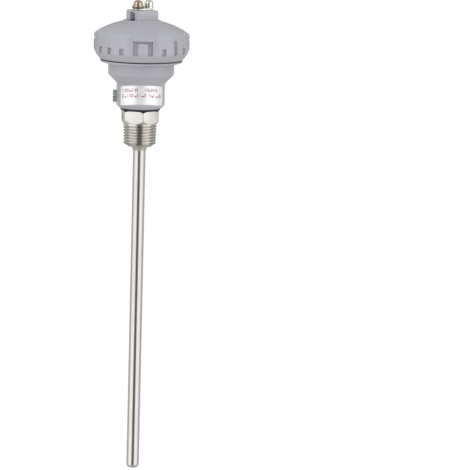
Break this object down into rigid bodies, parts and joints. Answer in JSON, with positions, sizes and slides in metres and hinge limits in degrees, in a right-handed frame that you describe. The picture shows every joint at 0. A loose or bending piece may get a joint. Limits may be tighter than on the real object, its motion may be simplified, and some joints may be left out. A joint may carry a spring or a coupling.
{
  "type": "rtd probe",
  "caption": "Resistance temperature probe with a domed screw-cap head, a cord clamp, a label, a hexagon with a tapered process thread and a long closed sheath",
  "frame": {"origin": "on the probe's axis, in the shoulder between the hexagon and the process thread", "axes": "+Z points along the axis up through the head, -Z runs down the sheath to its closed tip, and the label faces -Y"},
  "size_m": [0.0606, 0.0606, 0.3011],
  "materials": {
    "head_casting": "satin grey paint over an aluminium casting",
    "seal_rubber": "black moulded rubber",
    "plated_steel": "bright nickel plating",
    "dark_steel": "dark grey oxide",
    "zinc_steel": "dull grey zinc coating",
    "brass": "plain turned brass",
    "label_foil": "silver-white label film with red print",
    "fitting_steel": "turned stainless steel",
    "sheath_steel": "polished stainless steel tube",
    "ceramic": "unglazed white ceramic",
    "potting": "black potting resin",
    "wire_cover": "red and white wire insulation"
  },
  "bodies": {
    "base": {"housing": "head_casting", "label": "label_foil", "fitting_seal": "seal_rubber", "process_fitting": "fitting_steel", "weld_bead": "fitting_steel", "sheath": "sheath_steel", "insulating_core": "ceramic", "sensing_element": "ceramic", "element_leads": "plated_steel", "end_seal": "potting", "head_wires": "wire_cover", "terminal_block": "ceramic", "block_screws": "plated_steel", "terminal_plate_1": "brass", "terminal_plate_2": "brass", "terminal_plate_3": "brass"},
    "gasket": {"cap_gasket": "seal_rubber"},
    "cap": {"cap": "head_casting", "clamp_strap": "plated_steel", "pressure_plate": "plated_steel", "clamp_washer_front": "dark_steel", "clamp_washer_rear": "plated_steel"},
    "front_clamp_screw": {"clamp_screw_front": "brass"},
    "rear_clamp_screw": {"clamp_screw_rear": "plated_steel"},
    "lock_screw": {"lock_screw": "zinc_steel"},
    "terminal_screw_1": {"terminal_screw_1": "plated_steel"},
    "terminal_screw_2": {"terminal_screw_2": "plated_steel"},
    "terminal_screw_3": {"terminal_screw_3": "plated_steel"}
  },
  "joints": [
    {"name": "cap_lift", "type": "slide", "parent": "base", "child": "gasket", "axis": [0, 0, 1], "range_m": [0, 0.008]},
    {"name": "cap_turn", "type": "hinge", "parent": "gasket", "child": "cap", "pos_m": [0, 0, 0.041], "axis": [0, 0, 1], "range_deg": [0, 1440]},
    {"name": "front_clamp_turn", "type": "hinge", "parent": "cap", "child": "front_clamp_screw", "pos_m": [-0.00267, -0.00194, 0.074], "axis": [0, 0, 1], "range_deg": [0, 90]},
    {"name": "rear_clamp_turn", "type": "hinge", "parent": "cap", "child": "rear_clamp_screw", "pos_m": [0.00396, 0.00288, 0.074], "axis": [0, 0, 1], "range_deg": [0, 90]},
    {"name": "lock_turn", "type": "hinge", "parent": "base", "child": "lock_screw", "pos_m": [-0.015, 0, 0.0169], "axis": [-1, 0, 0], "range_deg": [0, 90]},
    {"name": "terminal_1_turn", "type": "hinge", "parent": "base", "child": "terminal_screw_1", "pos_m": [-0.0082, -0.0076, 0.042], "axis": [0, 0, 1], "range_deg": [0, 90]},
    {"name": "terminal_2_turn", "type": "hinge", "parent": "base", "child": "terminal_screw_2", "pos_m": [0, -0.0076, 0.042], "axis": [0, 0, 1], "range_deg": [0, 90]},
    {"name": "terminal_3_turn", "type": "hinge", "parent": "base", "child": "terminal_screw_3", "pos_m": [0.0082, -0.0076, 0.042], "axis": [0, 0, 1], "range_deg": [0, 90]}
  ],
  "couplings": [
    {"joint": "cap_lift", "follows": "cap_turn", "m_per_rad": 0.00031831}
  ]
}
